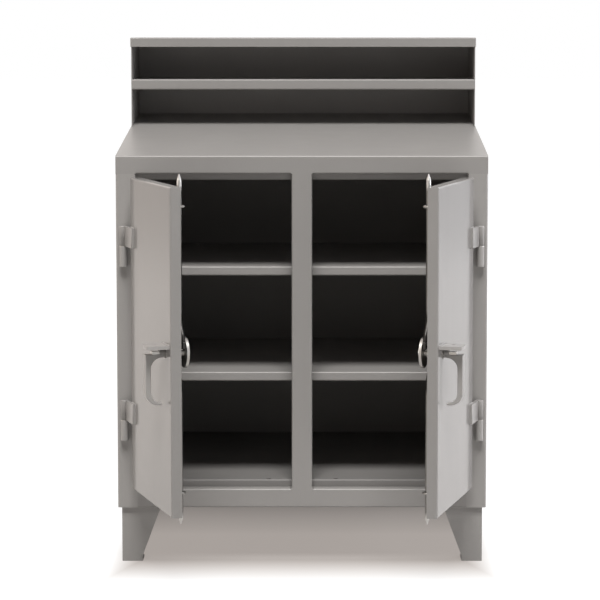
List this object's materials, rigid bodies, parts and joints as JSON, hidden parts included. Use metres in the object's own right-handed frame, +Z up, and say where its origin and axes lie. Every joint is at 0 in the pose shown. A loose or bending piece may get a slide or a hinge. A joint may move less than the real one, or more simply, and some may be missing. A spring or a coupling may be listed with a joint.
{
  "type": "shop desk cabinet",
  "caption": "Heavy sheet-steel cabinet with a sloped desk top, an open riser behind it, hinged doors with lever handles and rod latches, shelves inside and tapered legs.",
  "frame": {"origin": "on the floor, at the centre of the anchor holes in the feet", "axes": "+X to the right of someone facing the doors, +Y towards the back, +Z up"},
  "size_m": [0.9144, 1.1162, 1.3],
  "materials": {
    "grey_paint": "semi-gloss",
    "plated_steel": "zinc plated"
  },
  "bodies": {
    "cabinet": {"left_side_panel": "grey_paint", "right_side_panel": "grey_paint", "back_panel": "grey_paint", "desk_top": "grey_paint", "head_stop": "grey_paint", "bottom_rail": "grey_paint", "floor_pan": "grey_paint", "center_mullion": "grey_paint", "left_base_angle": "grey_paint", "right_base_angle": "grey_paint", "lower_shelf": "grey_paint", "upper_shelf": "grey_paint", "left_shelf_cleats": "grey_paint", "right_shelf_cleats": "grey_paint", "front_left_leg": "grey_paint", "front_right_leg": "grey_paint", "rear_left_leg": "grey_paint", "rear_right_leg": "grey_paint", "leg_bolts": "plated_steel", "riser_left_side": "grey_paint", "riser_right_side": "grey_paint", "riser_back": "grey_paint", "riser_shelf": "grey_paint", "riser_top": "grey_paint", "left_frame_knuckles": "grey_paint", "right_frame_knuckles": "grey_paint", "hinge_pins": "plated_steel", "hinge_washers": "plated_steel"},
    "left_door": {"left_door_panel": "grey_paint", "left_door_stiffener": "grey_paint", "left_hinge_leaves": "grey_paint", "left_handle_bush": "plated_steel", "left_hasp": "grey_paint", "left_rod_guides": "plated_steel"},
    "left_handle": {"left_handle": "grey_paint", "left_lock_lug": "plated_steel", "left_spindle": "plated_steel", "left_cam": "plated_steel", "left_cam_pins": "plated_steel", "left_cam_nut": "plated_steel"},
    "left_upper_rod": {"left_upper_rod": "plated_steel"},
    "left_lower_rod": {"left_lower_rod": "plated_steel"},
    "right_door": {"right_door_panel": "grey_paint", "right_door_stiffener": "grey_paint", "right_hinge_leaves": "grey_paint", "right_handle_bush": "plated_steel", "right_hasp": "grey_paint", "right_rod_guides": "plated_steel"},
    "right_handle": {"right_handle": "grey_paint", "right_lock_lug": "plated_steel", "right_spindle": "plated_steel", "right_cam": "plated_steel", "right_cam_pins": "plated_steel", "right_cam_nut": "plated_steel"},
    "right_upper_rod": {"right_upper_rod": "plated_steel"},
    "right_lower_rod": {"right_lower_rod": "plated_steel"}
  },
  "joints": [
    {"name": "left_door_hinge", "type": "hinge", "parent": "cabinet", "child": "left_door", "pos_m": [-0.4385, -0.3661, 0.5746], "axis": [0, 0, -1], "range_deg": [-71.1, 108.9]},
    {"name": "left_handle_turn", "type": "hinge", "parent": "left_door", "child": "left_handle", "pos_m": [-0.31496, -0.69914, 0.573], "axis": [0.9461, 0.3239, 0], "range_deg": [0, 90]},
    {"name": "left_upper_rod_slide", "type": "slide", "parent": "left_door", "child": "left_upper_rod", "axis": [0, 0, -1], "range_m": [0, 0.04]},
    {"name": "left_lower_rod_slide", "type": "slide", "parent": "left_door", "child": "left_lower_rod", "axis": [0, 0, 1], "range_m": [0, 0.04]},
    {"name": "right_door_hinge", "type": "hinge", "parent": "cabinet", "child": "right_door", "pos_m": [0.4385, -0.3661, 0.5746], "axis": [0, 0, 1], "range_deg": [-73.7, 106.3]},
    {"name": "right_handle_turn", "type": "hinge", "parent": "right_door", "child": "right_handle", "pos_m": [0.3302, -0.7044, 0.573], "axis": [0.9598, -0.2807, 0], "range_deg": [0, 90]},
    {"name": "right_upper_rod_slide", "type": "slide", "parent": "right_door", "child": "right_upper_rod", "axis": [0, 0, -1], "range_m": [0, 0.04]},
    {"name": "right_lower_rod_slide", "type": "slide", "parent": "right_door", "child": "right_lower_rod", "axis": [0, 0, 1], "range_m": [0, 0.04]}
  ],
  "couplings": [
    {"joint": "left_upper_rod_slide", "follows": "left_handle_turn", "m_per_rad": 0.02546},
    {"joint": "left_lower_rod_slide", "follows": "left_handle_turn", "m_per_rad": 0.02546},
    {"joint": "right_upper_rod_slide", "follows": "right_handle_turn", "m_per_rad": 0.02546},
    {"joint": "right_lower_rod_slide", "follows": "right_handle_turn", "m_per_rad": 0.02546}
  ]
}
